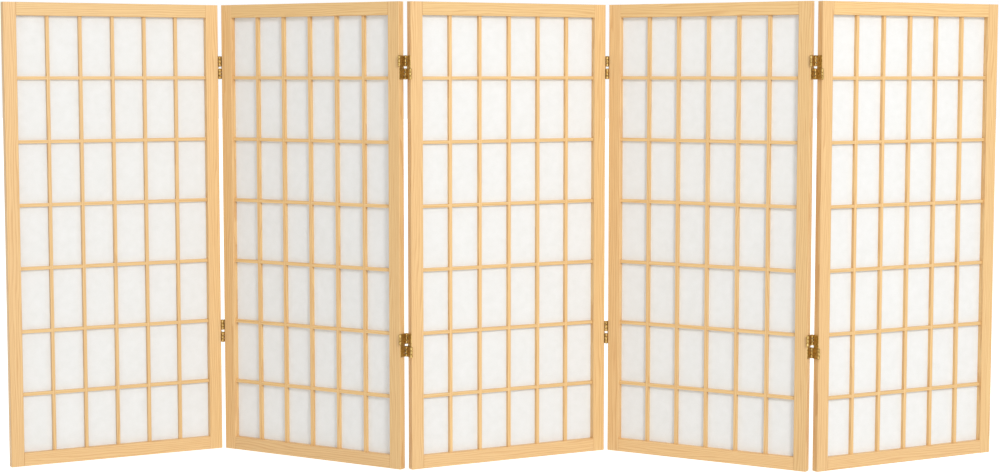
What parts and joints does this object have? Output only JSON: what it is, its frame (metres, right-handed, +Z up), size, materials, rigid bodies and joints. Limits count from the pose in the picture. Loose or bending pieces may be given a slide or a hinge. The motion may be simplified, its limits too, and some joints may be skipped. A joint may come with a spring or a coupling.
{
  "type": "folding shoji screen",
  "caption": "Free-standing folding room divider: softwood-framed panels of half-lapped lattice backed with white paper, hinged edge to edge with two-way brass hinges.",
  "frame": {"origin": "on the floor under the middle of the middle panel, which is also the middle of the whole screen's footprint", "axes": "+X runs along the standing screen from panel 1 to panel 5, +Y from the front (lattice side) to the back (paper side), +Z up"},
  "size_m": [1.9718, 0.2468, 0.914],
  "materials": {
    "frame_wood": "spruce, planed, clear satin lacquer",
    "lattice_wood": "spruce, planed, clear satin lacquer",
    "shoji_paper": "pressed-pulp paper, matt",
    "hinge_brass": "rolled brass, dull",
    "screw_brass": "turned brass, dull"
  },
  "bodies": {
    "panel_1": {"panel_1_left_stile": "frame_wood", "panel_1_right_stile": "frame_wood", "panel_1_top_rail": "frame_wood", "panel_1_bottom_rail": "frame_wood", "panel_1_uprights": "lattice_wood", "panel_1_crossbars": "lattice_wood", "panel_1_paper": "shoji_paper", "panel_1_hinge_leaves": "hinge_brass", "panel_1_hinge_pins": "hinge_brass", "panel_1_hinge_screws": "screw_brass", "fold_1_2_lower_links": "hinge_brass"},
    "panel_2": {"panel_2_left_stile": "frame_wood", "panel_2_right_stile": "frame_wood", "panel_2_top_rail": "frame_wood", "panel_2_bottom_rail": "frame_wood", "panel_2_uprights": "lattice_wood", "panel_2_crossbars": "lattice_wood", "panel_2_paper": "shoji_paper", "panel_2_hinge_leaves": "hinge_brass", "panel_2_hinge_pins": "hinge_brass", "panel_2_hinge_screws": "screw_brass", "fold_2_3_upper_links": "hinge_brass", "fold_1_2_upper_links": "hinge_brass"},
    "panel_3": {"panel_3_left_stile": "frame_wood", "panel_3_right_stile": "frame_wood", "panel_3_top_rail": "frame_wood", "panel_3_bottom_rail": "frame_wood", "panel_3_uprights": "lattice_wood", "panel_3_crossbars": "lattice_wood", "panel_3_paper": "shoji_paper", "panel_3_hinge_leaves": "hinge_brass", "panel_3_hinge_pins": "hinge_brass", "panel_3_hinge_screws": "screw_brass", "fold_3_4_lower_links": "hinge_brass", "fold_2_3_lower_links": "hinge_brass"},
    "panel_4": {"panel_4_left_stile": "frame_wood", "panel_4_right_stile": "frame_wood", "panel_4_top_rail": "frame_wood", "panel_4_bottom_rail": "frame_wood", "panel_4_uprights": "lattice_wood", "panel_4_crossbars": "lattice_wood", "panel_4_paper": "shoji_paper", "panel_4_hinge_leaves": "hinge_brass", "panel_4_hinge_pins": "hinge_brass", "panel_4_hinge_screws": "screw_brass", "fold_3_4_upper_links": "hinge_brass", "fold_4_5_upper_links": "hinge_brass"},
    "panel_5": {"panel_5_left_stile": "frame_wood", "panel_5_right_stile": "frame_wood", "panel_5_top_rail": "frame_wood", "panel_5_bottom_rail": "frame_wood", "panel_5_uprights": "lattice_wood", "panel_5_crossbars": "lattice_wood", "panel_5_paper": "shoji_paper", "panel_5_hinge_leaves": "hinge_brass", "panel_5_hinge_pins": "hinge_brass", "panel_5_hinge_screws": "screw_brass", "fold_4_5_lower_links": "hinge_brass"}
  },
  "joints": [
    {"name": "fold_3_4", "type": "hinge", "parent": "panel_3", "child": "panel_4", "pos_m": [0.19793, 0.10157, 0.5], "axis": [0, 0, -1], "range_deg": [-60, 117]},
    {"name": "fold_4_5", "type": "hinge", "parent": "panel_4", "child": "panel_5", "pos_m": [0.59379, -0.10157, 0.5], "axis": [0, 0, 1], "range_deg": [-60, 120]},
    {"name": "fold_2_3", "type": "hinge", "parent": "panel_3", "child": "panel_2", "pos_m": [-0.19793, -0.10157, 0.5], "axis": [0, 0, -1], "range_deg": [-60, 117]},
    {"name": "fold_1_2", "type": "hinge", "parent": "panel_2", "child": "panel_1", "pos_m": [-0.59379, 0.10157, 0.5], "axis": [0, 0, 1], "range_deg": [-60, 120]}
  ]
}
